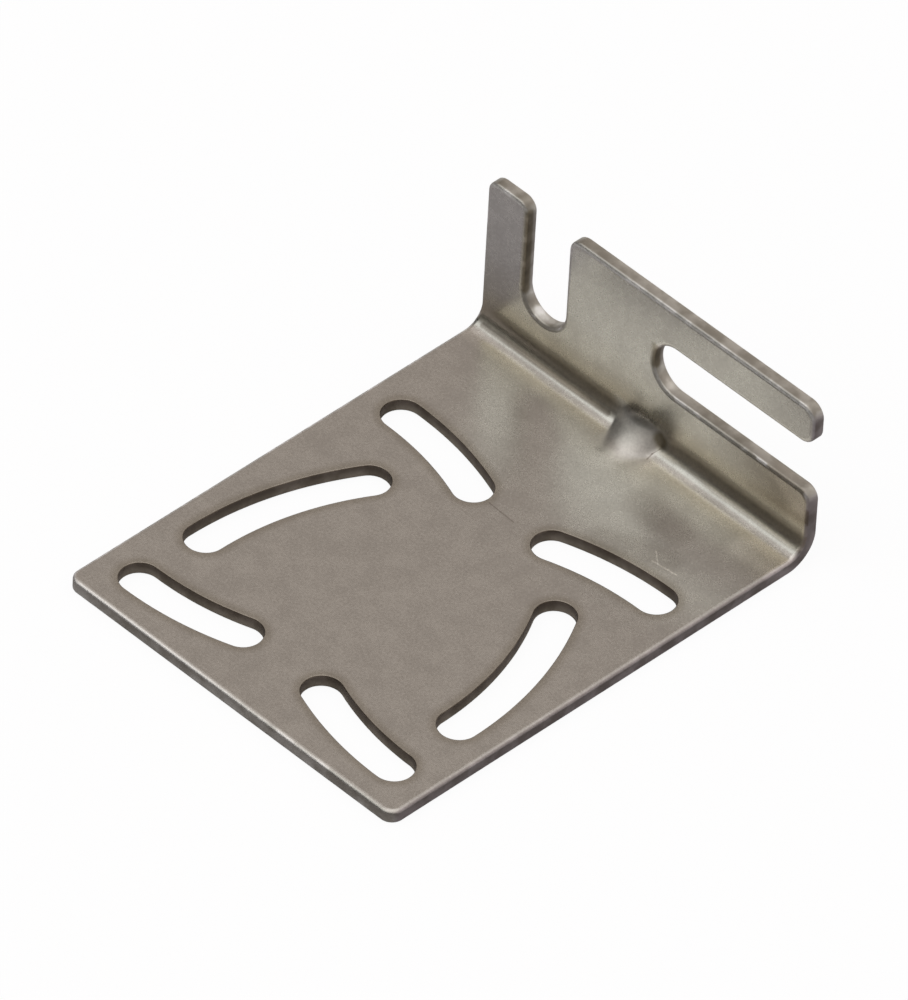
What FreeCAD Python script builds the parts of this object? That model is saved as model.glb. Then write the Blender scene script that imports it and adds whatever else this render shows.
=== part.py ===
import FreeCAD, Part
import math
import os
import Sketcher

# Mounting bracket: one sheet of stainless steel, blanked, folded once and dimpled in the bend.
# Frame: X across the width, Y from the free front edge to the flange, Z up.
# Origin: the middle of the footprint, on the underside of the base. Millimetres and degrees.

# Driving dimensions
SIZES = {
    # the folded sheet
    "base_width": 50.8,
    "base_depth": 64.2,
    "flange_height": 22.3,
    "sheet_thickness": 1.6,
    "bend_inner_radius": 2.4,
    # curved slots of the base: each follows an arc about the bolt position across from it
    "bolt_spacing": 39.6,
    "end_row_inset": 5.7,
    "side_row_inset": 15.45,
    "base_slot_width": 4.8,
    "end_slot_sweep": 20.0,
    "side_slot_sweep": 30.0,
    # openings of the flange
    "tab_width": 6.2,
    "notch_width": 6.55,
    "notch_floor": 7.3,
    "arm_height": 5.35,
    "arm_slot_width": 6.75,
    "arm_slot_depth": 24.35,
    # stiffening dimple in the middle of the bend
    "dimple_length": 5.8,
    "dimple_height": 5.4,
    "dimple_radius": 5.5,
    "dimple_sink": 0.05,
    "dimple_blend": 0.8,
    # corners of the outline and broken edges of the sheet
    "corner_radius": 1.6,
    "arm_corner_radius": 1.9,
    "edge_break": 0.2,
}

document = FreeCAD.newDocument("mounting_bracket")
cells = document.addObject("Spreadsheet::Sheet", "Sizes")
for row, (alias, value) in enumerate(SIZES.items(), start=1):
    cells.set(f"A{row}", alias)
    cells.set(f"B{row}", str(value))
    cells.setAlias(f"B{row}", alias)
document.recompute()

body = document.addObject("PartDesign::Body", "bracket")
body.Label = "bracket"

# Points of a curve in a sketch
START, END, CENTRE = range(1, 4)
# The sketch's own axes and origin
HORIZONTAL_AXIS, VERTICAL_AXIS = range(-1, -3, -1)
ORIGIN = (HORIZONTAL_AXIS, START)
# Distance below which two points count as one
TOUCH = 0.001
# Angle in radians below which two faces count as running smoothly into each other
SMOOTH = 0.05
# Height of the level slot's lower side above the underside
ARM_SLOT_FLOOR = "Sizes.flange_height - Sizes.arm_height - Sizes.arm_slot_width"
# Angle in degrees from the base to the plane in which the two arcs of the dimple's crown meet
LEAN = 135
# Radii of those arcs: a flat one that rises out of the base, and a short one into the flange.
# Together they span the dimple's length and height.
BASE_ARC = (
    "(cos(45 deg) * Sizes.dimple_length - (1 - cos(45 deg)) * Sizes.dimple_height)"
    " / (2 * cos(45 deg) - 1)"
)
FLANGE_ARC = (
    "(cos(45 deg) * Sizes.dimple_height - (1 - cos(45 deg)) * Sizes.dimple_length)"
    " / (2 * cos(45 deg) - 1)"
)
# Distance beyond the sheet that clears all that the dimple's rings leave outside it
CLEARANCE = "Sizes.dimple_length + Sizes.dimple_height + 2 * Sizes.dimple_radius"


def size(formula):
    """Work out a formula on the sheet's cells."""
    return float(body.evalExpression(formula))


def origin_plane(role):
    """Find one of the body's origin planes by its role."""
    return next(item for item in body.Origin.OriginFeatures if item.Role == role)


def new_sketch(name, role):
    """Start a sketch on one of the body's origin planes."""
    sketch = body.newObject("Sketcher::SketchObject", name)
    sketch.AttachmentSupport = [(origin_plane(role), "")]
    sketch.MapMode = "FlatFace"
    return sketch


def line(sketch, start, end, construction=False):
    segment = Part.LineSegment(FreeCAD.Vector(*start, 0), FreeCAD.Vector(*end, 0))
    return sketch.addGeometry(segment, construction)


def point_on(centre, radius, angle):
    """Find the point of a circle at an angle."""
    turn = math.radians(angle)
    return (centre[0] + radius * math.cos(turn), centre[1] + radius * math.sin(turn))


def arc(sketch, centre, radius, first_angle, last_angle):
    """Draw an arc anticlockwise from one angle to another."""
    circle = Part.Circle(FreeCAD.Vector(*centre, 0), FreeCAD.Vector(0, 0, 1), radius)
    curve = Part.ArcOfCircle(circle, math.radians(first_angle), math.radians(last_angle))
    return sketch.addGeometry(curve, False)


def fix(sketch, kind, *references):
    """Add a constraint that holds no size."""
    sketch.addConstraint(Sketcher.Constraint(kind, *references))


def measure(sketch, kind, name, formula, *references):
    """Add a named constraint whose size follows a formula on the sheet's cells."""
    value = size(formula)
    if kind == "Angle":
        value = math.radians(value)
        formula = f"({formula}) * 1 deg"
    index = sketch.addConstraint(Sketcher.Constraint(kind, *references, value))
    sketch.renameConstraint(index, name)
    sketch.setExpression(f"Constraints.{name}", formula)


def check_state(item):
    """Stop if an object of the document has failed."""
    if {"Invalid", "Error"} & set(item.State):
        raise RuntimeError(f"{item.Name} failed: {item.State}")


def finish(feature):
    """Make a feature the tip of the body, work it out and stop if it failed."""
    body.Tip = feature
    document.recompute()
    check_state(feature)


def finish_cut(feature, volume_before):
    """Finish a feature that removes material, and stop if it removed none."""
    finish(feature)
    if body.Shape.Volume >= volume_before:
        raise RuntimeError(f"{feature.Name} cuts nothing")


def pad_both_ways(name, sketch, length_formula):
    """Pad a sketch's shape by half the length to each side of its plane."""
    pad = body.newObject("PartDesign::Pad", name)
    pad.Profile = sketch
    pad.SideType = "Symmetric"
    pad.setExpression("Length", length_formula)
    finish(pad)


def cut_both_ways(name, sketch):
    """Cut a sketch's shape through the whole body, to both sides of its plane."""
    volume_before = body.Shape.Volume
    pocket = body.newObject("PartDesign::Pocket", name)
    pocket.Profile = sketch
    pocket.Type = "ThroughAll"
    pocket.SideType = "Symmetric"
    finish_cut(pocket, volume_before)
    return pocket


def fold_sheet():
    """Pad the folded sheet from its side view: base, bend and flange, all one thickness."""
    front = -size("Sizes.base_depth / 2")
    rear = -front
    height = size("Sizes.flange_height")
    thickness = size("Sizes.sheet_thickness")
    inner_radius = size("Sizes.bend_inner_radius")
    outer_radius = inner_radius + thickness
    centre = (rear - outer_radius, outer_radius)

    section = new_sketch("fold_section", "YZ_Plane")
    underside = line(section, (front, 0), (centre[0], 0))
    outer_bend = arc(section, centre, outer_radius, -90, 0)
    rear_face = line(section, (rear, centre[1]), (rear, height))
    top_edge = line(section, (rear, height), (rear - thickness, height))
    front_face = line(section, (rear - thickness, height), (rear - thickness, centre[1]))
    inner_bend = arc(section, centre, inner_radius, -90, 0)
    upper_face = line(section, (centre[0], thickness), (front, thickness))
    free_edge = line(section, (front, thickness), (front, 0))

    fix(section, "Tangent", underside, END, outer_bend, START)
    fix(section, "Tangent", outer_bend, END, rear_face, START)
    fix(section, "Coincident", rear_face, END, top_edge, START)
    fix(section, "Coincident", top_edge, END, front_face, START)
    fix(section, "Tangent", front_face, END, inner_bend, END)
    fix(section, "Tangent", inner_bend, START, upper_face, START)
    fix(section, "Coincident", upper_face, END, free_edge, START)
    fix(section, "Coincident", free_edge, END, underside, START)
    fix(section, "Coincident", outer_bend, CENTRE, inner_bend, CENTRE)
    for level in (underside, top_edge, upper_face):
        fix(section, "Horizontal", level)
    for upright in (rear_face, front_face, free_edge):
        fix(section, "Vertical", upright)
    fix(section, "PointOnObject", underside, START, HORIZONTAL_AXIS)
    half_depth = "Sizes.base_depth / 2"
    measure(section, "DistanceX", "to_front", half_depth, underside, START, *ORIGIN)
    measure(section, "DistanceX", "to_rear", half_depth, *ORIGIN, rear_face, END)
    measure(section, "DistanceY", "height", "Sizes.flange_height", *ORIGIN, rear_face, END)
    measure(section, "DistanceY", "thickness", "Sizes.sheet_thickness", free_edge, END, free_edge, START)
    measure(section, "Radius", "inner_radius", "Sizes.bend_inner_radius", inner_bend)
    pad_both_ways("folded_sheet", section, "Sizes.base_width")


def draw_curved_slot(sketch, name, across, along, start_angle, turn, sweep):
    """
    Draw a round-ended slot on an arc about a bolt position, whose place is two formulas.

    The slot starts straight across from that position, at start_angle, and turns by the
    formula sweep: anticlockwise where turn is 1, clockwise where it is -1.
    """
    centre = (size(across), size(along))
    radius = size("Sizes.bolt_spacing")
    half_width = size("Sizes.base_slot_width / 2")
    first, last = sorted((start_angle, start_angle + turn * size(sweep)))
    first_centre = point_on(centre, radius, first)
    last_centre = point_on(centre, radius, last)

    outer = arc(sketch, centre, radius + half_width, first, last)
    last_end = arc(sketch, last_centre, half_width, last, last + 180)
    inner = arc(sketch, centre, radius - half_width, first, last)
    first_end = arc(sketch, first_centre, half_width, first + 180, first + 360)
    fix(sketch, "Tangent", outer, END, last_end, START)
    fix(sketch, "Tangent", last_end, END, inner, END)
    fix(sketch, "Tangent", inner, START, first_end, START)
    fix(sketch, "Tangent", first_end, END, outer, START)
    fix(sketch, "Coincident", inner, CENTRE, outer, CENTRE)
    measure(sketch, "Radius", f"{name}_half_width", "Sizes.base_slot_width / 2", first_end)

    first_spoke = line(sketch, centre, first_centre, construction=True)
    last_spoke = line(sketch, centre, last_centre, construction=True)
    for spoke, end in ((first_spoke, first_end), (last_spoke, last_end)):
        fix(sketch, "Coincident", spoke, START, outer, CENTRE)
        fix(sketch, "Coincident", spoke, END, end, CENTRE)
    start_spoke = first_spoke if turn > 0 else last_spoke
    fix(sketch, "Horizontal" if start_angle % 180 == 0 else "Vertical", start_spoke)
    measure(sketch, "Distance", f"{name}_spacing", "Sizes.bolt_spacing", start_spoke)
    measure(sketch, "Angle", f"{name}_sweep", sweep, first_spoke, START, last_spoke, START)
    measure(sketch, "DistanceX", f"{name}_across", across, *ORIGIN, outer, CENTRE)
    measure(sketch, "DistanceY", f"{name}_along", along, *ORIGIN, outer, CENTRE)


def cut_base_slots():
    """
    Cut the base's six curved slots: three of the left half, mirrored to the right.

    The bolts that they take stand on a square of bolt_spacing, so the bracket swings about
    any one bolt while the bolt across from it runs along its slot.
    """
    left = "-Sizes.bolt_spacing / 2"
    right = "Sizes.bolt_spacing / 2"
    front_row = "Sizes.end_row_inset - Sizes.base_depth / 2"
    rear_row = f"{front_row} + Sizes.bolt_spacing"
    side_row = "Sizes.side_row_inset - Sizes.base_depth / 2"
    slots = new_sketch("left_base_slots", "XY_Plane")
    draw_curved_slot(slots, "rear", left, front_row, 90, -1, "Sizes.end_slot_sweep")
    draw_curved_slot(slots, "front", left, rear_row, -90, 1, "Sizes.end_slot_sweep")
    draw_curved_slot(slots, "side", right, side_row, 180, -1, "Sizes.side_slot_sweep")
    pocket = cut_both_ways("left_slots", slots)

    volume_before = body.Shape.Volume
    mirror = body.newObject("PartDesign::Mirrored", "right_slots")
    mirror.Originals = [pocket]
    mirror.MirrorPlane = (origin_plane("YZ_Plane"), [""])
    finish_cut(mirror, volume_before)


def cut_tab_notch():
    """Cut the round-bottomed notch, open at the top, that leaves a narrow tab at the left."""
    left = size("Sizes.tab_width - Sizes.base_width / 2")
    half_width = size("Sizes.notch_width / 2")
    top = size("Sizes.flange_height")
    centre = (left + half_width, size("Sizes.notch_floor") + half_width)

    notch = new_sketch("tab_notch_outline", "XZ_Plane")
    tab_side = line(notch, (left, top), (left, centre[1]))
    floor = arc(notch, centre, half_width, 180, 360)
    plate_side = line(notch, (left + 2 * half_width, centre[1]), (left + 2 * half_width, top))
    mouth = line(notch, (left + 2 * half_width, top), (left, top))
    fix(notch, "Tangent", tab_side, END, floor, START)
    fix(notch, "Tangent", floor, END, plate_side, START)
    fix(notch, "Coincident", plate_side, END, mouth, START)
    fix(notch, "Coincident", mouth, END, tab_side, START)
    fix(notch, "Vertical", tab_side)
    fix(notch, "Vertical", plate_side)
    fix(notch, "Horizontal", mouth)
    tab_place = "Sizes.tab_width - Sizes.base_width / 2"
    measure(notch, "DistanceX", "tab_place", tab_place, *ORIGIN, tab_side, START)
    measure(notch, "DistanceY", "top", "Sizes.flange_height", *ORIGIN, tab_side, START)
    measure(notch, "Radius", "half_width", "Sizes.notch_width / 2", floor)
    centre_height = "Sizes.notch_floor + Sizes.notch_width / 2"
    measure(notch, "DistanceY", "centre_height", centre_height, *ORIGIN, floor, CENTRE)
    cut_both_ways("tab_notch", notch)


def cut_arm_slot():
    """Cut the level slot, open at the right end, that leaves an arm above a lower strip."""
    right = size("Sizes.base_width / 2")
    half_width = size("Sizes.arm_slot_width / 2")
    floor_height = size(ARM_SLOT_FLOOR)
    centre = (right - size("Sizes.arm_slot_depth") + half_width, floor_height + half_width)

    slot = new_sketch("arm_slot_outline", "XZ_Plane")
    floor = line(slot, (centre[0], floor_height), (right, floor_height))
    mouth = line(slot, (right, floor_height), (right, floor_height + 2 * half_width))
    roof = line(slot, (right, floor_height + 2 * half_width), (centre[0], floor_height + 2 * half_width))
    closed_end = arc(slot, centre, half_width, 90, 270)
    fix(slot, "Coincident", floor, END, mouth, START)
    fix(slot, "Coincident", mouth, END, roof, START)
    fix(slot, "Tangent", roof, END, closed_end, START)
    fix(slot, "Tangent", closed_end, END, floor, START)
    fix(slot, "Horizontal", floor)
    fix(slot, "Horizontal", roof)
    fix(slot, "Vertical", mouth)
    measure(slot, "DistanceX", "mouth", "Sizes.base_width / 2", *ORIGIN, floor, END)
    measure(slot, "DistanceY", "floor", ARM_SLOT_FLOOR, *ORIGIN, floor, END)
    measure(slot, "Radius", "half_width", "Sizes.arm_slot_width / 2", closed_end)
    centre_inset = "Sizes.arm_slot_depth - Sizes.arm_slot_width / 2"
    measure(slot, "DistanceX", "centre_inset", centre_inset, closed_end, CENTRE, floor, END)
    cut_both_ways("arm_slot", slot)


def corner_edges(points, through):
    """Find the straight edges that run along one axis through points of the other two."""
    across = [axis for axis in range(3) if axis != through]
    found = []
    for index, edge in enumerate(body.Shape.Edges, start=1):
        ends = [vertex.Point for vertex in edge.Vertexes]
        for point in points:
            if len(ends) == 2 and all(
                abs(end[axis] - place) < TOUCH for end in ends for axis, place in zip(across, point)
            ):
                found.append(index)
    return found


def dress_edges(kind, measured_by, name, edges, alias):
    """Work some edges of the body, given by their numbers, to the size in a cell."""
    base = body.Tip
    feature = body.newObject(f"PartDesign::{kind}", name)
    feature.Base = (base, [f"Edge{index}" for index in edges])
    feature.setExpression(measured_by, f"Sizes.{alias}")
    finish(feature)


def round_edges(name, edges, alias):
    dress_edges("Fillet", "Radius", name, edges, alias)


def bevel_edges(name, edges, alias):
    dress_edges("Chamfer", "Size", name, edges, alias)


def round_corners():
    """Round the corners of the blank's outline."""
    side = size("Sizes.base_width / 2")
    front = -size("Sizes.base_depth / 2")
    top = size("Sizes.flange_height")
    tab_side = -side + size("Sizes.tab_width")
    plate_side = tab_side + size("Sizes.notch_width")
    slot_floor = size(ARM_SLOT_FLOOR)
    slot_roof = slot_floor + size("Sizes.arm_slot_width")
    base_corners = corner_edges([(-side, front), (side, front)], through=2)
    tab_corners = corner_edges([(-side, top), (tab_side, top)], through=1)
    strip_corner = corner_edges([(side, slot_floor)], through=1)
    round_edges("rounded_corners", base_corners + tab_corners + strip_corner, "corner_radius")
    arm_corners = corner_edges([(plate_side, top), (side, top), (side, slot_roof)], through=1)
    round_edges("rounded_arm_corners", arm_corners, "arm_corner_radius")


def ring_sketch(name, radius):
    """
    Draw a section of the dimple's rings, round with the given radius, where they meet.

    The sketch leans halfway between base and flange. Its own level axis is the axis of the
    ring that runs into the flange; a construction line is the axis of the one out of the base.
    """
    level = f"Sizes.base_depth / 2 - Sizes.sheet_thickness + Sizes.dimple_sink - {FLANGE_ARC}"
    height = "Sizes.sheet_thickness - Sizes.dimple_sink + Sizes.dimple_height"
    sketch = new_sketch(name, "XY_Plane")
    place = FreeCAD.Vector(0, size(level), size(height))
    tilt = FreeCAD.Rotation(FreeCAD.Vector(1, 0, 0), LEAN)
    sketch.AttachmentOffset = FreeCAD.Placement(place, tilt)
    sketch.setExpression("AttachmentOffset.Base.y", level)
    sketch.setExpression("AttachmentOffset.Base.z", height)

    depth = f"{FLANGE_ARC} + Sizes.dimple_radius"
    ring = Part.Circle(FreeCAD.Vector(0, -size(depth), 0), FreeCAD.Vector(0, 0, 1), size(radius))
    section = sketch.addGeometry(ring, False)
    fix(sketch, "PointOnObject", section, CENTRE, VERTICAL_AXIS)
    measure(sketch, "DistanceY", "depth", depth, section, CENTRE, *ORIGIN)
    measure(sketch, "Radius", "radius", radius, section)
    above_ring = f"{BASE_ARC} + Sizes.dimple_radius"
    length = "Sizes.dimple_radius"
    over = size(above_ring) - size(depth)
    axis = line(sketch, (0, over), (size(length), over), construction=True)
    fix(sketch, "PointOnObject", axis, START, VERTICAL_AXIS)
    fix(sketch, "Horizontal", axis)
    measure(sketch, "DistanceY", "above_ring", above_ring, section, CENTRE, axis, START)
    measure(sketch, "DistanceX", "axis_length", length, axis, START, axis, END)
    return sketch


def swing_both_ways(kind, name, sketch):
    """Swing a ring section down to the base about one axis and up to the flange about the other."""
    for part, axis, back in (("base", "Axis0", True), ("flange", "H_Axis", False)):
        volume_before = body.Shape.Volume
        swing = body.newObject(f"PartDesign::{kind}", f"{name}_{part}")
        swing.Profile = sketch
        swing.ReferenceAxis = (sketch, [axis])
        swing.Angle = 180 - LEAN
        swing.Reversed = back
        finish(swing)
        if body.Shape.Volume == volume_before:
            raise RuntimeError(f"{swing.Name} changes nothing")


def trim_rings():
    """Cut off what the rings leave below the base and behind the flange."""
    rear = size("Sizes.base_depth / 2")
    outer_radius = size("Sizes.bend_inner_radius + Sizes.sheet_thickness")
    centre = (rear - outer_radius, outer_radius)
    margin = size(CLEARANCE)

    waste = new_sketch("ring_waste", "YZ_Plane")
    underside = line(waste, (rear - margin, 0), (centre[0], 0))
    bend = arc(waste, centre, outer_radius, -90, 0)
    rear_face = line(waste, (rear, centre[1]), (rear, margin))
    top = line(waste, (rear, margin), (rear + margin, margin))
    back = line(waste, (rear + margin, margin), (rear + margin, -margin))
    bottom = line(waste, (rear + margin, -margin), (rear - margin, -margin))
    front = line(waste, (rear - margin, -margin), (rear - margin, 0))
    fix(waste, "Tangent", underside, END, bend, START)
    fix(waste, "Tangent", bend, END, rear_face, START)
    loop = (rear_face, top, back, bottom, front, underside)
    for side, following in zip(loop, loop[1:]):
        fix(waste, "Coincident", side, END, following, START)
    for level in (underside, top, bottom):
        fix(waste, "Horizontal", level)
    for upright in (rear_face, back, front):
        fix(waste, "Vertical", upright)
    fix(waste, "PointOnObject", underside, START, HORIZONTAL_AXIS)
    bend_radius = "Sizes.bend_inner_radius + Sizes.sheet_thickness"
    measure(waste, "DistanceX", "rear", "Sizes.base_depth / 2", *ORIGIN, rear_face, START)
    measure(waste, "Radius", "bend_radius", bend_radius, bend)
    measure(waste, "DistanceX", "back", CLEARANCE, rear_face, END, back, START)
    measure(waste, "DistanceX", "front", CLEARANCE, front, END, rear_face, START)
    measure(waste, "DistanceY", "top", CLEARANCE, *ORIGIN, rear_face, END)
    measure(waste, "DistanceY", "bottom", CLEARANCE, back, END, *ORIGIN)
    cut_both_ways("ring_trim", waste)


def sharp_edges(half_width):
    """Find the edges, all within half_width of the middle, where two faces meet at an angle."""
    shape = body.Shape
    found = []
    for index, edge in enumerate(shape.Edges, start=1):
        middle = edge.valueAt((edge.FirstParameter + edge.LastParameter) / 2)
        faces = shape.ancestorsOfType(edge, Part.Face)
        if len(faces) == 2 and edge.BoundBox.XMin > -half_width and edge.BoundBox.XMax < half_width:
            first, second = (face.normalAt(*face.Surface.parameter(middle)) for face in faces)
            if first.getAngle(second) > SMOOTH:
                found.append(index)
    return found


def press_dimple():
    """Press the stiffening dimple into the middle of the bend, and blend it into the sheet."""
    swing_both_ways("Revolution", "dimple", ring_sketch("dimple_ring", "Sizes.dimple_radius"))
    trim_rings()
    dent_radius = "Sizes.dimple_radius - Sizes.sheet_thickness"
    swing_both_ways("Groove", "dent", ring_sketch("dent_ring", dent_radius))
    round_edges("blended_dimple", sharp_edges(size("Sizes.dimple_radius")), "dimple_blend")


def break_edges():
    """Break every edge that the blanking left sharp."""
    bevel_edges("broken_edges", sharp_edges(size("Sizes.base_width")), "edge_break")


fold_sheet()
press_dimple()
cut_base_slots()
cut_tab_notch()
cut_arm_slot()
round_corners()
break_edges()

# Check the whole model, then write the part
for item in document.Objects:
    check_state(item)
shape = body.Shape
if shape.isNull() or not shape.isValid() or len(shape.Solids) != 1:
    raise RuntimeError("the bracket is not one valid solid")
os.makedirs("parts", exist_ok=True)
shape.exportStep(f"parts/{body.Label}.step")
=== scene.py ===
import math

import bpy
import numpy as np
from mathutils import Matrix, Vector, geometry, kdtree, noise


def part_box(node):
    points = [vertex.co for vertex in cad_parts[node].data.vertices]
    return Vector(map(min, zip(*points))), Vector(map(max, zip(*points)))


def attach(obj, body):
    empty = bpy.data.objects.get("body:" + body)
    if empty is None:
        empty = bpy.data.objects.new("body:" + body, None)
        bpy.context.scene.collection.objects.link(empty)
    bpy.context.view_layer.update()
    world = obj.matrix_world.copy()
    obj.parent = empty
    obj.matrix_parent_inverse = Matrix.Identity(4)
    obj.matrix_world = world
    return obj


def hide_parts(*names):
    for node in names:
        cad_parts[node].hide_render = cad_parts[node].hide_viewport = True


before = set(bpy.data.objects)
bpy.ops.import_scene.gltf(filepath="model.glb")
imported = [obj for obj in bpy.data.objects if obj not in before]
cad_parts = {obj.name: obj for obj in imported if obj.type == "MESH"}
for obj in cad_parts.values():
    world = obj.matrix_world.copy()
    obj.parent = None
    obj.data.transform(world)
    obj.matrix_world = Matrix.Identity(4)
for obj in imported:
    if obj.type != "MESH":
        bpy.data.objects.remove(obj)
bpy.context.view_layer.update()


# Blank of the bracket
# One piece of stainless steel sheet, punched out flat with all its slots. Drawn flat in
# millimetres: x across, y from the free edge along the sheet, z through it. The material lies
# to the left of every outline.
SHEET = 1.6
BEND_RADIUS = 2.4
CORNER_RADIUS = 1.6
ARM_CORNER_RADIUS = 1.9
BOLT_SPACING = 39.6
END_ROW_INSET = 5.7
SIDE_ROW_INSET = 15.45
BASE_SLOT_WIDTH = 4.8
END_SLOT_SWEEP = 20.0
SIDE_SLOT_SWEEP = 30.0
TAB_WIDTH = 6.2
NOTCH_WIDTH = 6.55
NOTCH_FLOOR = 7.3
ARM_HEIGHT = 5.35
ARM_SLOT_WIDTH = 6.75
ARM_SLOT_DEPTH = 24.35
TO_METRES = 0.001
OUTLINE_STEP = 0.35
ARC_STEP = math.radians(5)

low, high = (corner / TO_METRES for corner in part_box("bracket"))
front = low.y
fold_line = high.y - BEND_RADIUS - SHEET
middle_radius = BEND_RADIUS + SHEET / 2
bend_length = middle_radius * math.pi / 2


def on_blank(height):
    """Find where a height on the flange lies along the blank."""
    return fold_line + bend_length + height - BEND_RADIUS - SHEET


def straight(start, end):
    """Place points along a straight run, without its last one."""
    count = max(1, math.ceil((end - start).length / OUTLINE_STEP))
    return [start.lerp(end, index / count) for index in range(count)]


def arc(centre, radius, first, last):
    """Place points along an arc between two angles, without its last one."""
    count = math.ceil(max(abs(last - first) / ARC_STEP, abs(last - first) * radius / OUTLINE_STEP))
    angles = [first + (last - first) * index / count for index in range(count)]
    return [centre + radius * Vector((math.cos(angle), math.sin(angle))) for angle in angles]


def outline_through(corners):
    """Trace a closed outline through corners, each given as x, y and the radius that rounds it."""
    places = [Vector(corner[:2]) for corner in corners]
    starts, ends, bends = [], [], []
    for index, (x, y, radius) in enumerate(corners):
        place = Vector((x, y))
        before = (place - places[index - 1]).normalized()
        after = (places[(index + 1) % len(places)] - place).normalized()
        turn = -before.angle_signed(after)
        reach = radius * math.tan(abs(turn) / 2)
        side = Vector((-before.y, before.x)) * math.copysign(radius, turn)
        start = place - before * reach
        centre = start + side
        first = math.atan2(-side.y, -side.x)
        starts.append(start)
        ends.append(place + after * reach)
        bends.append(arc(centre, radius, first, first + turn))
    points = []
    for index, bend in enumerate(bends):
        points += bend + straight(ends[index], starts[(index + 1) % len(starts)])
    return points


def curved_slot(centre, start_angle, turn):
    """Trace a round-ended slot on an arc about a bolt's place, clockwise."""
    first, last = sorted((start_angle, start_angle + turn))
    half_width = BASE_SLOT_WIDTH / 2
    first_end = centre + BOLT_SPACING * Vector((math.cos(first), math.sin(first)))
    last_end = centre + BOLT_SPACING * Vector((math.cos(last), math.sin(last)))
    return (
        arc(centre, BOLT_SPACING + half_width, last, first)
        + arc(first_end, half_width, first, first - math.pi)
        + arc(centre, BOLT_SPACING - half_width, first, last)
        + arc(last_end, half_width, last + math.pi, last)
    )


def bracket_outlines():
    """Trace the blank's outer edge and its six curved slots."""
    side = high.x
    top = on_blank(high.z)
    notch_left = TAB_WIDTH - side
    notch_right = notch_left + NOTCH_WIDTH
    notch_floor = on_blank(NOTCH_FLOOR)
    arm_end = side - ARM_SLOT_DEPTH
    slot_roof = top - ARM_HEIGHT
    slot_floor = slot_roof - ARM_SLOT_WIDTH
    outlines = [outline_through([
        (-side, front, CORNER_RADIUS),
        (side, front, CORNER_RADIUS),
        (side, slot_floor, CORNER_RADIUS),
        (arm_end, slot_floor, ARM_SLOT_WIDTH / 2),
        (arm_end, slot_roof, ARM_SLOT_WIDTH / 2),
        (side, slot_roof, ARM_CORNER_RADIUS),
        (side, top, ARM_CORNER_RADIUS),
        (notch_right, top, ARM_CORNER_RADIUS),
        (notch_right, notch_floor, NOTCH_WIDTH / 2),
        (notch_left, notch_floor, NOTCH_WIDTH / 2),
        (notch_left, top, CORNER_RADIUS),
        (-side, top, CORNER_RADIUS),
    ])]
    front_row = front + END_ROW_INSET
    rear_row = front_row + BOLT_SPACING
    side_row = front + SIDE_ROW_INSET
    quarter = math.pi / 2
    end_sweep = math.radians(END_SLOT_SWEEP)
    side_sweep = math.radians(SIDE_SLOT_SWEEP)
    for hand in (-1, 1):
        bolt = hand * BOLT_SPACING / 2
        outlines.append(curved_slot(Vector((bolt, front_row)), quarter, hand * end_sweep))
        outlines.append(curved_slot(Vector((bolt, rear_row)), -quarter, -hand * end_sweep))
        side_start = math.pi if hand > 0 else 0
        outlines.append(curved_slot(Vector((bolt, side_row)), side_start, -hand * side_sweep))
    return outlines


def inward_ways(outline):
    """Find the unit direction into the material at each point of an outline."""
    ways = []
    for index, point in enumerate(outline):
        along = outline[(index + 1) % len(outline)] - outline[index - 1]
        ways.append(Vector((-along.y, along.x)).normalized())
    return ways


def is_inside(points, outlines):
    """Say of each point whether it lies on the blank, by counting the outlines it looks across."""
    crossings = np.zeros(len(points), int)
    for outline in outlines:
        starts = np.array(outline)
        ends = np.roll(starts, -1, axis=0)
        for (x0, y0), (x1, y1) in zip(starts, ends):
            if y0 != y1:
                between = (points[:, 1] > y0) != (points[:, 1] > y1)
                beyond = points[:, 0] < x0 + (points[:, 1] - y0) * (x1 - x0) / (y1 - y0)
                crossings += between & beyond
    return crossings % 2 == 1


def nearest_to(outlines):
    """Sort the points of outlines so that the nearest one to any place is found."""
    points = [point for outline in outlines for point in outline]
    tree = kdtree.KDTree(len(points))
    for index, point in enumerate(points):
        tree.insert(point.to_3d(), index)
    tree.balance()
    return tree


# Grid of the broad faces: coarse on the flats, fine where the bend and its dimple are pressed
COARSE = 1.1
FINE = 0.22
DIMPLE_ZONE = 5.5
CLEARANCE = 0.15


def face_grid(rims):
    """Lay a grid of points over the broad face within its rims, and clear of them."""
    bend_start = fold_line - DIMPLE_ZONE / 2
    bend_end = fold_line + bend_length + DIMPLE_ZONE / 2
    top = on_blank(high.z)
    along_flats = [*np.arange(front, bend_start, COARSE), *np.arange(bend_end, top, COARSE)]
    across_flats = np.arange(low.x, high.x, COARSE)
    along_bend = np.arange(bend_start, bend_end, FINE)
    across_dimple = np.arange(-DIMPLE_ZONE, DIMPLE_ZONE, FINE)
    beside_dimple = [x for x in across_flats if abs(x) > DIMPLE_ZONE]
    grid = [(x, y) for y in along_flats for x in across_flats]
    grid += [(x, y) for y in along_bend for x in (*beside_dimple, *across_dimple)]
    grid = np.array(grid)
    grid = grid[is_inside(grid, rims)]
    near = nearest_to(rims)
    return [Vector(point) for point in grid if near.find((*point, 0))[2] > CLEARANCE]


# Cut edges. The punch draws the upper edge down around the outside, over a longer way in than
# down, and the slots keep sharper edges. The walls are slightly uneven.
OUTER_ROLL = (0.6, 0.4)
SLOT_ROLL = (0.12, 0.15)
UNDER_ROLL = (0.15, 0.15)
EDGE_STEPS = 5
UNEVENNESS = 0.025
UNEVEN_DETAIL = 2.5
# The narrow flat ring just inside a round edge, which keeps the broad faces flat in shading
FLAT_RING = 0.04
# How the faces are cut into triangles: only those within the rims, and no two points taken as one
WITHIN_RIMS = 1
SAME_POINT = 1e-9


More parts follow.
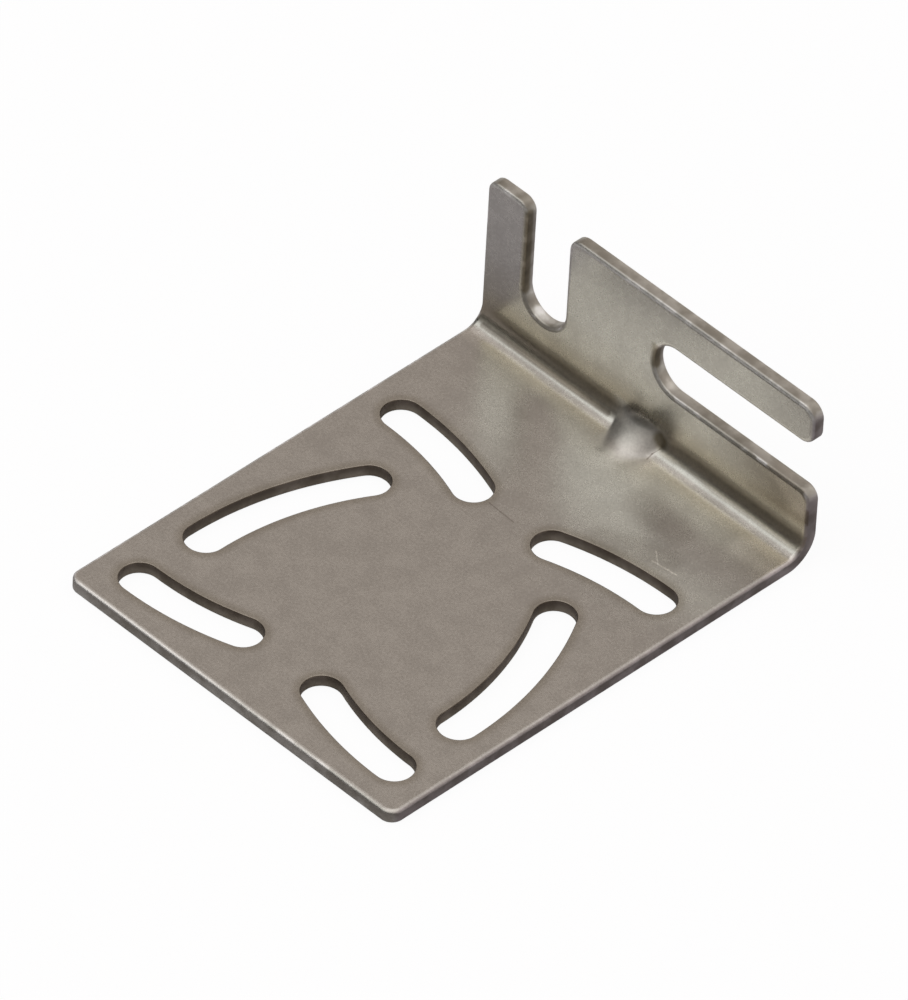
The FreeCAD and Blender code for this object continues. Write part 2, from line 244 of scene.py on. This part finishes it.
def rounding(roll):
    """List the steps of a round edge from the flat to the wall, as how far in, how far down."""
    inwards, down = roll
    turns = [index / EDGE_STEPS * math.pi / 2 for index in range(EDGE_STEPS + 1)]
    return [(inwards * (1 - math.sin(turn)), down * (1 - math.cos(turn))) for turn in turns]


def edge_profile(roll):
    """List the rings of a cut edge from the underside up, as how far in, how high, how much cut."""
    shares = [index / EDGE_STEPS for index in range(EDGE_STEPS + 1)]
    lower = [(inset, rise, share) for (inset, rise), share in zip(rounding(UNDER_ROLL), shares)]
    upper = [(inset, SHEET - drop, share) for (inset, drop), share in zip(rounding(roll), shares)]
    rim = max(roll[0], UNDER_ROLL[0]) + 2 * FLAT_RING
    under_flat = (UNDER_ROLL[0] + FLAT_RING, 0, 0)
    upper_flat = (roll[0] + FLAT_RING, SHEET, 0)
    return [(rim, 0, 0), under_flat, *lower, *reversed(upper), upper_flat, (rim, SHEET, 0)]


def blank_mesh():
    """Build the blank: a wall of rings along each outline, and the broad faces between them."""
    outlines = bracket_outlines()
    points, faces, cut, in_slot = [], [], [], []
    rims, under, above = [], [], []
    for number, outline in enumerate(outlines):
        ways = inward_ways(outline)
        profile = edge_profile(SLOT_ROLL if number else OUTER_ROLL)
        first = len(points)
        count = len(outline)
        wobble = [noise.noise(point.to_3d() * UNEVEN_DETAIL) * UNEVENNESS for point in outline]
        for inset, height, share in profile:
            for point, way, shift in zip(outline, ways, wobble):
                points.append((*(point + way * (inset + abs(shift) * share)), height))
            cut += [share] * count
            in_slot += [min(number, 1)] * count
        for ring in range(len(profile) - 1):
            lower = first + ring * count
            for index in range(count):
                after = (index + 1) % count
                faces.append((lower + index, lower + after, lower + count + after, lower + count + index))
        rims.append([Vector(point[:2]) for point in points[first:first + count]])
        under += range(first, first + count)
        above += range(len(points) - count, len(points))

    edges, start = [], 0
    for rim in rims:
        count = len(rim)
        edges += [(start + index, start + (index + 1) % count) for index in range(count)]
        start += count
    grid = face_grid(rims)
    under += range(len(points), len(points) + len(grid))
    points += [(*point, 0) for point in grid]
    above += range(len(points), len(points) + len(grid))
    points += [(*point, SHEET) for point in grid]
    cut += [0] * 2 * len(grid)
    in_slot += [0] * 2 * len(grid)

    flat = [point for rim in rims for point in rim] + grid
    _, _, triangles, origins, _, _ = geometry.delaunay_2d_cdt(
        flat, edges, [], WITHIN_RIMS, SAME_POINT
    )
    triangles = np.array([[origins[corner][0] for corner in triangle] for triangle in triangles])
    flat = np.array(flat)
    triangles = triangles[is_inside(flat[triangles].mean(axis=1), rims)]
    for one, two, three in triangles:
        faces.append((above[one], above[two], above[three]))
        faces.append((under[three], under[two], under[one]))

    mesh = bpy.data.meshes.new("blank")
    mesh.from_pydata([Vector(point) * TO_METRES for point in points], [], faces)

    # What the finish reads off each point: how far round a cut edge it lies, whether that edge is a
    # slot's, and in millimetres how far past the fold line, below the upper face and from a slot
    slots = nearest_to(outlines[1:])
    values_by_name = {
        "cut": cut,
        "in_slot": in_slot,
        "past_fold": [point[1] - fold_line for point in points],
        "depth": [SHEET - point[2] for point in points],
        "from_slot": [slots.find((point[0], point[1], 0))[2] for point in points],
    }
    for name, values in values_by_name.items():
        mesh.attributes.new(name, "FLOAT", "POINT").data.foreach_set("value", values)
    mesh.validate()
    return mesh


# Steel finish
# Stainless steel with the satin face of the mill: nearly neutral, slightly warm and mottled. It
# has a painted highlight along the fold, painted brownish shade in the bend and low on the flange,
# painted shade around the slots, light scratches, and darker cut walls, in the slots partly painted
# shade.
ROLLED = ((0.59, 0.57, 0.54, 1), (0.70, 0.68, 0.645, 1))
# The cut walls at the upper and the lower edge, outside and in the slots, where their darkness is partly
# painted shade
OUTER_WALL = ((0.52, 0.50, 0.46, 1), (0.72, 0.70, 0.65, 1))
SLOT_WALL_AND_SHADE = ((0.27, 0.23, 0.19, 1), (0.50, 0.45, 0.37, 1))
STAINED_WALL = (0.65, 0.63, 0.6, 1)
# Worn edges, and a painted highlight along the round edge
WORN_EDGE_AND_HIGHLIGHT = (0.95, 0.92, 0.91, 1)
# Painted shade on the face around the slots
SLOT_RIM_SHADE = (0.80, 0.78, 0.74, 1)
# Painted light and shade across the bend, at distances in millimetres past the fold line: a painted
# highlight at the fold, a narrow painted dark line after it, and painted shade, darker and browner, on
# into the flange
BEND_LIGHT_AND_SHADE = (
    (-3.0, (1.0, 1.0, 1.0)),
    (-1.6, (0.97, 0.97, 0.97)),
    (-0.7, (1.12, 1.12, 1.11)),
    (0.1, (1.22, 1.22, 1.21)),
    (0.8, (1.20, 1.20, 1.20)),
    (1.3, (0.96, 0.97, 0.97)),
    (1.8, (0.80, 0.81, 0.81)),
    (2.2, (0.60, 0.585, 0.56)),
    (2.7, (0.98, 0.93, 0.84)),
    (3.3, (0.84, 0.77, 0.66)),
    (4.2, (0.68, 0.615, 0.515)),
    (5.2, (0.69, 0.63, 0.53)),
    (6.6, (0.83, 0.785, 0.69)),
    (8.5, (0.95, 0.93, 0.885)),
    (13.0, (1.02, 1.02, 1.02)),
)
# The brightest of the painted bend light, by which its ramp is scaled
BRIGHTEST_BEND_LIGHT = 1.22
# How far the painted light and shade across the bend stray, in millimetres
STRAY = 0.25
# Painted shade, brownish, low on the flange
FLANGE_FOOT_SHADE = (0.46, 0.42, 0.37, 1)
# Painted shade at the right end
RIGHT_END_SHADE = (0.66, 0.62, 0.66, 1)
LIGHT_MARK = (1.5, 1.5, 1.5, 1)
# Dark scratches, and painted shade in the dimple's crease and along the start of the bend
DARK_SCRATCH_AND_SHADE = (0.55, 0.52, 0.5, 1)
# Painted sheen: painted highlights on the base near the bend, on the flange and by the arm's slot
PAINTED_SHEEN = (1.28, 1.28, 1.3, 1)
# Painted glint on the notch's floor
PAINTED_GLINT = (1.7, 1.78, 1.9, 1)
# Painted dimming: painted shade in broad patches on the base and low on the flange
PAINTED_DIMMING = (0.84, 0.83, 0.82, 1)
# Painted brown shade along end walls and by the dimple's crease
PAINTED_BROWN_SHADE = (0.5, 0.46, 0.38, 1)
# Marks on the faces and the edges, each with its two ends and its half width in millimetres: three
# scratches, painted shade in the crease at the dimple's foot, painted sheen, a painted glint, painted
# brown shade on the end walls of the notch and the arm's slot and by the dimple, painted dimming in
# patches, and a painted dark line where the bend starts left of the dimple
MARKS = (
    ((15.2, 17.2, 1.6), (18.6, 17.6, 1.6), 0.14, LIGHT_MARK),
    ((14.4, 18.6, 1.6), (16.0, 17.3, 1.6), 0.10, LIGHT_MARK),
    ((-3.3, 10.4, 1.6), (0.8, 10.2, 1.6), 0.08, DARK_SCRATCH_AND_SHADE),
    ((3.16, 28.26, 1.61), (3.12, 29.05, 1.85), 0.13, DARK_SCRATCH_AND_SHADE),
    ((3.12, 29.05, 1.85), (3.52, 29.86, 2.37), 0.11, DARK_SCRATCH_AND_SHADE),
    ((20.5, 26.3, 1.6), (25.0, 26.8, 1.6), 2.6, PAINTED_SHEEN),
    ((20.0, 30.5, 11.0), (24.0, 30.5, 8.0), 2.2, PAINTED_SHEEN),
    ((-17.4, 31.4, 7.7), (-15.6, 31.4, 7.4), 0.9, PAINTED_GLINT),
    ((1.9, 31.1, 11.3), (2.9, 31.1, 10.5), 0.9, PAINTED_SHEEN),
    ((-19.2, 31.0, 20.9), (-19.2, 31.0, 10.0), 0.9, PAINTED_BROWN_SHADE),
    ((1.1, 31.0, 15.6), (1.1, 31.0, 12.8), 0.9, PAINTED_BROWN_SHADE),
    ((2.9, 30.4, 3.3), (3.4, 30.2, 3.0), 1.1, PAINTED_BROWN_SHADE),
    ((-24.0, 29.5, 2.15), (-4.5, 29.7, 2.26), 0.5, DARK_SCRATCH_AND_SHADE),
    ((-13.0, 30.5, 5.4), (-2.0, 30.5, 6.2), 2.8, PAINTED_DIMMING),
    ((8.0, 23.0, 1.6), (13.5, 22.5, 1.6), 3.2, PAINTED_DIMMING),
    ((9.0, 15.6, 1.6), (16.0, 18.6, 1.6), 2.6, PAINTED_DIMMING),
)
# How much narrower the full core of a mark is than the whole mark
MARK_SOFTNESS = 3
# The part of the mottling that is fine grain, and not clouds
GRAIN_SHARE = 0.6
# The grain's relief, whose depth is in metres
BUMP_STRENGTH = 0.004
BUMP_DEPTH = 0.00002
# What is added to the roughness of the even face
EDGE_DULLNESS = 0.2
BEND_DULLNESS = 0.08
CROWN_DULLNESS = 0.25


class Term:
    """A number in a node tree, written in formulas as any other number is."""

    def __init__(self, socket):
        self.socket = socket

    def __add__(self, other):
        return reckon("ADD", self, other)

    def __sub__(self, other):
        return reckon("SUBTRACT", self, other)

    def __rsub__(self, other):
        return reckon("SUBTRACT", other, self)

    def __mul__(self, other):
        return reckon("MULTIPLY", self, other)

    def __truediv__(self, other):
        return reckon("DIVIDE", self, other)


def put(value, socket):
    """Link a term or another socket to an input, or set the input to a constant."""
    if isinstance(value, Term):
        value = value.socket
    if isinstance(value, bpy.types.NodeSocket):
        socket.id_data.links.new(value, socket)
    else:
        socket.default_value = value


def reckon(operation, *values):
    """Add one step of arithmetic to the node tree that its terms are in."""
    tree = next(value.socket.id_data for value in values if isinstance(value, Term))
    node = tree.nodes.new("ShaderNodeMath")
    node.operation = operation
    for value, socket in zip(values, node.inputs):
        put(value, socket)
    return Term(node.outputs[0])


class Finish:
    """The steel's node tree: what it reads off the sheet, and the steps that it is built from."""

    def __init__(self, material):
        self.tree = material.node_tree
        self.place = self.tree.nodes.new("ShaderNodeTexCoord").outputs["Object"]
        apart = self.tree.nodes.new("ShaderNodeSeparateXYZ")
        put(self.place, apart.inputs[0])
        self.x, self.y = (Term(apart.outputs[axis]) for axis in "XY")
        self.off_middle = reckon("ABSOLUTE", self.x)
        self.past_fold = self.attribute("past_fold")
        self.cut = self.attribute("cut")
        self.in_slot = self.attribute("in_slot")
        self.grain = self.mottle(scale=3200, detail=2)
        self.clouds = self.mottle(scale=420, detail=3)
        self.mottled = self.grain * GRAIN_SHARE + self.clouds * (1 - GRAIN_SHARE)

    def attribute(self, name):
        """Read a number that the mesh carries."""
        node = self.tree.nodes.new("ShaderNodeAttribute")
        node.attribute_name = name
        return Term(node.outputs["Fac"])

    def mottle(self, scale, detail):
        """Spread an even random pattern over the steel."""
        node = self.tree.nodes.new("ShaderNodeTexNoise")
        put(self.place, node.inputs["Vector"])
        put(scale, node.inputs["Scale"])
        put(detail, node.inputs["Detail"])
        return Term(node.outputs["Fac"])

    def share(self, value, start, full, least=0.0, most=1.0):
        """Let a share grow smoothly from least to most while a value goes from start to full."""
        node = self.tree.nodes.new("ShaderNodeMapRange")
        node.interpolation_type = "SMOOTHSTEP"
        inputs = {"Value": value, "From Min": start, "From Max": full, "To Min": least, "To Max": most}
        for name, number in inputs.items():
            put(number, node.inputs[name])
        return Term(node.outputs["Result"])

    def mixed(self, share, first, second, kind="MIX"):
        """Mix two colours, or multiply the first by the second, by a share."""
        node = self.tree.nodes.new("ShaderNodeMix")
        node.data_type = "RGBA"
        node.blend_type = kind
        for name, value in (("Factor", share), ("A", first), ("B", second)):
            put(value, node.inputs[name])
        return node.outputs["Result"]

    def vector(self, operation, *values):
        """Add one step of vector arithmetic."""
        node = self.tree.nodes.new("ShaderNodeVectorMath")
        node.operation = operation
        for value, socket in zip(values, node.inputs):
            put(value, socket)
        return node

    def mark(self, start, end, half_width):
        """Find the share of a soft straight mark between two places."""
        origin = Vector(start) * TO_METRES
        way = Vector(end) * TO_METRES - origin
        ahead = self.vector("SUBTRACT", self.place, origin).outputs["Vector"]
        passed = self.vector("DOT_PRODUCT", ahead, way / way.length_squared).outputs["Value"]
        nearest = self.vector("SCALE", way)
        put(reckon("MINIMUM", reckon("MAXIMUM", Term(passed), 0.0), 1.0), nearest.inputs["Scale"])
        aside = self.vector("DISTANCE", ahead, nearest.outputs["Vector"]).outputs["Value"]
        reach = half_width * TO_METRES
        return self.share(Term(aside), start=reach, full=reach / MARK_SOFTNESS)


def painted_bend_light(finish):
    """Paint highlight and shade across the bend, by how far past the fold line a place lies."""
    ramp = finish.tree.nodes.new("ShaderNodeValToRGB")
    nearest, farthest = BEND_LIGHT_AND_SHADE[0][0], BEND_LIGHT_AND_SHADE[-1][0]
    stops = ramp.color_ramp.elements
    for distance, _ in BEND_LIGHT_AND_SHADE[1:-1]:
        stops.new((distance - nearest) / (farthest - nearest))
    for stop, (_, tint) in zip(stops, BEND_LIGHT_AND_SHADE):
        stop.color = (*(part / BRIGHTEST_BEND_LIGHT for part in tint), 1)
    drifts = finish.mottle(scale=90, detail=2)
    strayed = finish.past_fold + finish.share(drifts, start=0.3, full=0.7, least=-STRAY, most=STRAY)
    put((strayed - nearest) / (farthest - nearest), ramp.inputs["Fac"])
    return ramp.outputs["Color"]


def face_colour(finish):
    """Colour the rolled face: mottled, with painted highlight and shade across the bend, low on the
    flange and around the slots.
    """
    colour = finish.mixed(finish.share(finish.mottled, start=0.35, full=0.65), *ROLLED)

    # The bend's painted highlight and shade leave the dimple out
    bend_lit = finish.mixed(1.0, colour, painted_bend_light(finish), "MULTIPLY")
    bend_lit = finish.mixed(1.0, bend_lit, (BRIGHTEST_BEND_LIGHT, BRIGHTEST_BEND_LIGHT, BRIGHTEST_BEND_LIGHT, 1), "MULTIPLY")
    beside_dimple = finish.share(finish.off_middle, start=0.002, full=0.005)
    above_dimple = finish.share(finish.past_fold, start=4.5, full=6.5)
    colour = finish.mixed(reckon("MAXIMUM", beside_dimple, above_dimple), colour, bend_lit)

    # Painted shade, brownish, low on the flange, most of all on the right, and painted shade around
    # the slots
    on_right = finish.share(finish.x, start=0.008, full=0.022)
    on_left = finish.share(finish.x, start=-0.007, full=-0.016, most=0.25)
    below_top = finish.share(finish.past_fold, start=19.0, full=9.0)
    above_bend = finish.share(finish.past_fold, start=4.8, full=7.0)
    flange_foot_shade = (on_right + on_left) * (below_top * above_bend)
    colour = finish.mixed(flange_foot_shade, colour, FLANGE_FOOT_SHADE, "MULTIPLY")
    slot_rim_shade = finish.share(finish.attribute("from_slot"), start=1.4, full=0.2)
    return finish.mixed(slot_rim_shade, colour, SLOT_RIM_SHADE, "MULTIPLY")


def edge_colour(finish, face):
    """Colour the cut edges on top of the face's colour."""
    # Lighter where they are round: worn in patches, less so near the right end, and a painted
    # highlight all along the left of the free edge
    at_front = finish.share(finish.y, start=-0.030, full=-0.0315)
    at_left = finish.share(finish.x, start=0.012, full=-0.012)
    in_patches = finish.share(finish.clouds, start=0.5, full=0.62)
    off_right_end = finish.share(finish.x, start=0.0252, full=0.0245, least=0.3)
    wear_and_highlight = reckon("MAXIMUM", in_patches * off_right_end, at_front * at_left)
    on_round = finish.share(finish.cut, start=0.1, full=0.5)
    colour = finish.mixed(on_round * wear_and_highlight * (1.0 - finish.in_slot), face, WORN_EDGE_AND_HIGHLIGHT)

    # Sheared walls, stained in clouds. In the slots they are darker, partly from the rough fracture and
    # partly painted shade of the hole, and they reach up over the sharper round, where this painted
    # shade covers the round's highlight
    on_wall = finish.share(finish.cut, start=0.6, full=0.95)
    in_slot_wall = finish.share(finish.cut, start=0.0, full=0.3) * finish.in_slot
    down = finish.share(finish.attribute("depth"), start=0.3, full=1.5)
    wall = finish.mixed(finish.in_slot, finish.mixed(down, *OUTER_WALL), finish.mixed(down, *SLOT_WALL_AND_SHADE))
    stained = finish.share(finish.clouds, start=0.65, full=0.35)
    wall = finish.mixed(stained, wall, STAINED_WALL, "MULTIPLY")
    colour = finish.mixed(reckon("MAXIMUM", on_wall, in_slot_wall), colour, wall)
    # Painted shade over the right end's walls and round edges
    at_right_end = finish.share(finish.x, start=0.0249, full=0.0254)
    return finish.mixed(at_right_end, colour, RIGHT_END_SHADE, "MULTIPLY")


def roughness(finish):
    """Find how dull the steel is: duller on cut edges, in the bend's dark band and on the dimple's crown.
    """
    even = finish.share(finish.mottled, start=0.3, full=0.7, least=0.256, most=0.278)
    on_edge = finish.share(finish.cut, start=0.0, full=0.5)
    in_bend = finish.share(finish.past_fold, start=2.0, full=2.8)
    in_bend *= finish.share(finish.past_fold, start=6.0, full=4.0)
    on_crown = finish.share(finish.off_middle, start=0.0038, full=0.0025)
    on_crown *= finish.share(finish.past_fold, start=-3.0, full=0.5)
    on_crown *= finish.share(finish.past_fold, start=6.0, full=3.5)
    return even + on_edge * EDGE_DULLNESS + in_bend * BEND_DULLNESS + on_crown * CROWN_DULLNESS


def steel_finish():
    """Make the material of the sheet."""
    material = bpy.data.materials.new("brushed_steel")
    material.use_nodes = True
    finish = Finish(material)
    colour = edge_colour(finish, face_colour(finish))
    for start, end, half_width, tint in MARKS:
        colour = finish.mixed(finish.mark(start, end, half_width), colour, tint, "MULTIPLY")
    bump = material.node_tree.nodes.new("ShaderNodeBump")
    put(BUMP_STRENGTH, bump.inputs["Strength"])
    put(BUMP_DEPTH, bump.inputs["Distance"])
    put(finish.grain, bump.inputs["Height"])
    shader = material.node_tree.nodes["Principled BSDF"]
    put(1.0, shader.inputs["Metallic"])
    put(colour, shader.inputs["Base Color"])
    put(roughness(finish), shader.inputs["Roughness"])
    put(bump.outputs["Normal"], shader.inputs["Normal"])
    return material


# Folding of the bracket
# The flat blank is bent up once by a right angle about a round tool, and a punch presses a
# stiffening dimple into the middle of the bend from behind. Its crown is round across and runs
# in two arcs from the base into the flange. The node tree does both by formula.
# How far the dimple reaches along the base and up the flange from the corner of their inner faces,
# how round it is across, and how softly it meets the sheet
DIMPLE_LENGTH = 5.8
DIMPLE_HEIGHT = 5.4
DIMPLE_RADIUS = 4.2
DIMPLE_BLEND = 0.6
FOLD_SIZES = {
    "Sheet": SHEET,
    "Bend radius": BEND_RADIUS,
    "Fold line": fold_line,
    "Dimple length": DIMPLE_LENGTH,
    "Dimple height": DIMPLE_HEIGHT,
    "Dimple radius": DIMPLE_RADIUS,
    "Dimple blend": DIMPLE_BLEND,
}


def folding_tree():
    """Build the node tree that presses the dimple, folds the blank and gives it its finish."""
    tree = bpy.data.node_groups.new("fold_and_press", "GeometryNodeTree")
    tree.interface.new_socket("Geometry", in_out="INPUT", socket_type="NodeSocketGeometry")
    for name in FOLD_SIZES:
        tree.interface.new_socket(name, in_out="INPUT", socket_type="NodeSocketFloat")
    tree.interface.new_socket("Finish", in_out="INPUT", socket_type="NodeSocketMaterial")
    tree.interface.new_socket("Geometry", in_out="OUTPUT", socket_type="NodeSocketGeometry")
    entry = tree.nodes.new("NodeGroupInput")
    sheet, radius, line, length, height, round_back, blend = (
        Term(entry.outputs[name]) for name in FOLD_SIZES
    )
    apart = tree.nodes.new("ShaderNodeSeparateXYZ")
    put(tree.nodes.new("GeometryNodeInputPosition").outputs[0], apart.inputs[0])
    across, along, through = (Term(apart.outputs[axis]) for axis in "XYZ")

    # How far the sheet has turned, and how far a place lies beyond the bend on either side
    middle = radius + sheet * 0.5
    past_line = along - line
    turn = reckon("MINIMUM", reckon("MAXIMUM", past_line / middle, 0.0), math.pi / 2)
    before = reckon("MINIMUM", past_line, 0.0)
    after = reckon("MAXIMUM", past_line - middle * (math.pi / 2), 0.0)

    # Seen from the side, the dimple's crown runs on two arcs: a long flat one out of the base, and
    # a short one into the flange. They meet where it leans at 45 degrees.
    lean = math.cos(math.pi / 4)
    rest = 1 - lean
    spread = lean - rest
    base_arc = length * (lean / spread) - height * (rest / spread)
    flange_arc = height * (lean / spread) - length * (rest / spread)
    foot = line + radius - length
    top = sheet + height
    side = reckon("MAXIMUM", round_back * round_back - across * across, 0.0)
    fall = round_back - reckon("SQRT", side)

    # How far the dimple stands out of the sheet, found along the line straight through the sheet
    level = line + before
    rise = radius + sheet + after
    start_y = reckon("MAXIMUM", level, foot)
    start_z = reckon("MINIMUM", rise, top)
    past = start_y - level + (rise - start_z)
    sine, cosine = reckon("SINE", turn), reckon("COSINE", turn)
    reaches = []
    for centre_y, centre_z, arc_radius in (
        (foot, sheet + base_arc, base_arc),
        (line + radius - flange_arc, top, flange_arc),
    ):
        aside, above = centre_y - start_y, centre_z - start_z
        ahead = aside * sine - above * cosine
        crown = arc_radius + fall
        square = crown * crown - aside * aside - above * above + ahead * ahead
        reaches.append(ahead + reckon("SQRT", reckon("MAXIMUM", square, 0.0)))
    on_base, on_flange = reaches
    met = start_y + on_flange * sine + start_z - on_flange * cosine
    late = reckon("GREATER_THAN", met - (line + radius - flange_arc + top), 0.0)
    stand = radius - on_base - (on_flange - on_base) * late - past
    pressed = through + reckon("SMOOTH_MAX", stand, 0.0, blend)

    arm = radius + sheet - pressed
    folded = tree.nodes.new("ShaderNodeCombineXYZ")
    put(across, folded.inputs["X"])
    put(level + arm * sine, folded.inputs["Y"])
    put(rise - arm * cosine, folded.inputs["Z"])

    chain = [tree.nodes.new(kind) for kind in (
        "GeometryNodeSetPosition", "GeometryNodeSetShadeSmooth",
        "GeometryNodeRealizeInstances", "GeometryNodeSetMaterial",
    )]
    put(folded.outputs[0], chain[0].inputs["Position"])
    put(entry.outputs["Finish"], chain[-1].inputs["Material"])
    leave = tree.nodes.new("NodeGroupOutput")
    for node, following in zip([entry, *chain], [*chain, leave]):
        put(node.outputs[0], following.inputs[0])
    return tree


def fold_bracket(mesh):
    """Fold the blank's mesh and keep the result as a plain mesh."""
    blank = bpy.data.objects.new("blank", mesh)
    bpy.context.scene.collection.objects.link(blank)
    folding = blank.modifiers.new("fold", "NODES")
    folding.node_group = folding_tree()
    settings = {name: size * TO_METRES for name, size in FOLD_SIZES.items()}
    settings["Finish"] = steel_finish()
    for item in folding.node_group.interface.items_tree:
        if item.name in settings:
            folding[item.identifier] = settings[item.name]
    view = bpy.context.evaluated_depsgraph_get()
    folded = bpy.data.meshes.new_from_object(blank.evaluated_get(view))
    bpy.data.objects.remove(blank)
    bracket = bpy.data.objects.new("folded_bracket", folded)
    bpy.context.scene.collection.objects.link(bracket)
    return bracket


bracket = fold_bracket(blank_mesh())
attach(bracket, "root")
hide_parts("bracket")


# Floor
# A plain white floor that turns up into a low wall beyond every view. The camera sees it, and the
# steel mirrors it, as white with a trace of its own shade, but from close by as its grey paint.
FLOOR_REACH = 2.1
FLOOR_WALL = 0.4
FLOOR_SIDES = 72
FLOOR_DROP = 0.0001
FLOOR_PAINT = (0.45, 0.45, 0.48, 1)
WHITE_STRENGTH = 1.16
WHITE_SHARE = 0.8
# How far away the white begins, and where it is full
WHITE_BEGINS = 0.04
WHITE_IS_FULL = 0.3


def floor_paint():
    """Make the floor's paint, which turns white where it is looked at or mirrored from afar."""
    material = bpy.data.materials.new("white_floor")
    material.use_nodes = True
    nodes = material.node_tree.nodes
    nodes.clear()
    paint = nodes.new("ShaderNodeBsdfDiffuse")
    white = nodes.new("ShaderNodeEmission")
    path = nodes.new("ShaderNodeLightPath")
    far = nodes.new("ShaderNodeMapRange")
    mix = nodes.new("ShaderNodeMixShader")
    output = nodes.new("ShaderNodeOutputMaterial")
    put(FLOOR_PAINT, paint.inputs["Color"])
    put(WHITE_STRENGTH, white.inputs["Strength"])
    put(path.outputs["Ray Length"], far.inputs["Value"])
    put(WHITE_BEGINS, far.inputs["From Min"])
    put(WHITE_IS_FULL, far.inputs["From Max"])
    put(WHITE_SHARE, far.inputs["To Max"])
    seen = Term(path.outputs["Is Camera Ray"])
    for kind in ("Is Glossy Ray", "Is Transmission Ray"):
        seen = reckon("MAXIMUM", seen, Term(path.outputs[kind]))
    put(seen * Term(far.outputs["Result"]), mix.inputs["Fac"])
    put(paint.outputs[0], mix.inputs[1])
    put(white.outputs[0], mix.inputs[2])
    put(mix.outputs[0], output.inputs["Surface"])
    return material


def white_floor():
    """Lay the round floor, with its wall."""
    angles = [math.tau * side / FLOOR_SIDES for side in range(FLOOR_SIDES)]
    rim = [(FLOOR_REACH * math.cos(angle), FLOOR_REACH * math.sin(angle)) for angle in angles]
    points = [(x, y, z) for z in (0, FLOOR_WALL) for x, y in rim]
    faces = [tuple(range(FLOOR_SIDES))]
    for side in range(FLOOR_SIDES):
        after = (side + 1) % FLOOR_SIDES
        faces.append((side, after, FLOOR_SIDES + after, FLOOR_SIDES + side))
    mesh = bpy.data.meshes.new("floor")
    mesh.from_pydata(points, [], faces)
    mesh.materials.append(floor_paint())
    floor = bpy.data.objects.new("floor", mesh)
    floor.location.z = -FLOOR_DROP
    bpy.context.scene.collection.objects.link(floor)


white_floor()


# Light
# A soft studio, much like a light tent: a dim warm room, soft lights in front on the left, on the
# right, behind and above, and a black screen around the front, which the steel mirrors under them.
ROOM = (0.39, 0.345, 0.31, 1)
COOL = (0.94, 1.0, 0.975)
BLACK_CLOTH = (0.01, 0.01, 0.01, 1)
SCREEN_STEPS = 24


def room_light():
    """Light the room evenly."""
    world = bpy.data.worlds.new("room")
    world.use_nodes = True
    put(ROOM, world.node_tree.nodes["Background"].inputs["Color"])
    bpy.context.scene.world = world


def toward(azimuth, elevation, distance):
    """Find the place at a compass angle from the front, turning right, and a height angle."""
    turn, rise = math.radians(azimuth), math.radians(elevation)
    level = distance * math.cos(rise)
    return Vector((level * math.sin(turn), -level * math.cos(turn), distance * math.sin(rise)))


def softbox(name, azimuth, elevation, distance, width, height, radiance, colour=(1, 1, 1)):
    """Hang a soft light that faces the bracket and looks as bright as its radiance."""
    lamp = bpy.data.lights.new(name, "AREA")
    lamp.color = colour
    lamp.shape = "RECTANGLE"
    lamp.size = width
    lamp.size_y = height
    lamp.energy = radiance * math.pi * width * height
    thing = bpy.data.objects.new(name, lamp)
    bpy.context.scene.collection.objects.link(thing)
    thing.location = toward(azimuth, elevation, distance)
    thing.rotation_euler = thing.location.to_track_quat("Z", "Y").to_euler()
    thing.visible_camera = False


def black_screen(first_azimuth, last_azimuth, top_elevation, distance):
    """Stand a black screen around the front, seen by the steel and by nothing else."""
    points = []
    for index in range(SCREEN_STEPS + 1):
        azimuth = first_azimuth + (last_azimuth - first_azimuth) * index / SCREEN_STEPS
        foot = toward(azimuth, 0, distance)
        points += [foot, foot + Vector((0, 0, distance * math.tan(math.radians(top_elevation))))]
    faces = [(first, first + 2, first + 3, first + 1) for first in range(0, 2 * SCREEN_STEPS, 2)]
    mesh = bpy.data.meshes.new("black_screen")
    mesh.from_pydata(points, [], faces)
    black = bpy.data.materials.new("black_cloth")
    black.use_nodes = True
    put(BLACK_CLOTH, black.node_tree.nodes["Principled BSDF"].inputs["Base Color"])
    mesh.materials.append(black)
    screen = bpy.data.objects.new("black_screen", mesh)
    bpy.context.scene.collection.objects.link(screen)
    screen.visible_camera = False
    screen.visible_diffuse = False
    screen.visible_shadow = False


room_light()
softbox(
    "front_softbox", azimuth=-35, elevation=46, distance=1.6, width=1.7, height=0.85, radiance=0.84,
    colour=COOL,
)
softbox("right_softbox", azimuth=65, elevation=46, distance=1.6, width=2.2, height=0.8, radiance=0.35)
softbox("back_softbox", azimuth=160, elevation=46, distance=1.6, width=1.2, height=0.8, radiance=0.35)
softbox("top_softbox", azimuth=0, elevation=89, distance=1.6, width=1.6, height=1.6, radiance=0.8)
black_screen(first_azimuth=-95, last_azimuth=75, top_elevation=36, distance=1.2)


# Camera
# A long lens from high in front on the right, at the photograph's viewing angle.
LENS = 758.5
CAMERA_AZIMUTH = 43.61
CAMERA_ELEVATION = 42.635
CAMERA_ROLL = 3.312
CAMERA_DISTANCE = 2.30065
AIM = Vector((-0.007315, 0.00908, 0))


def photographer():
    """Stand the camera where the photograph was taken from."""
    lens = bpy.data.cameras.new("camera")
    lens.lens = LENS
    lens.clip_start = 0.1
    camera = bpy.data.objects.new("camera", lens)
    bpy.context.scene.collection.objects.link(camera)
    back = toward(CAMERA_AZIMUTH, CAMERA_ELEVATION, 1.0)
    level = back.to_track_quat("Z", "Y").to_matrix().to_4x4()
    roll = Matrix.Rotation(math.radians(CAMERA_ROLL), 4, "Z")
    camera.matrix_world = Matrix.Translation(AIM + back * CAMERA_DISTANCE) @ level @ roll
    bpy.context.scene.camera = camera


photographer()
bpy.context.scene.view_settings.view_transform = "Standard"
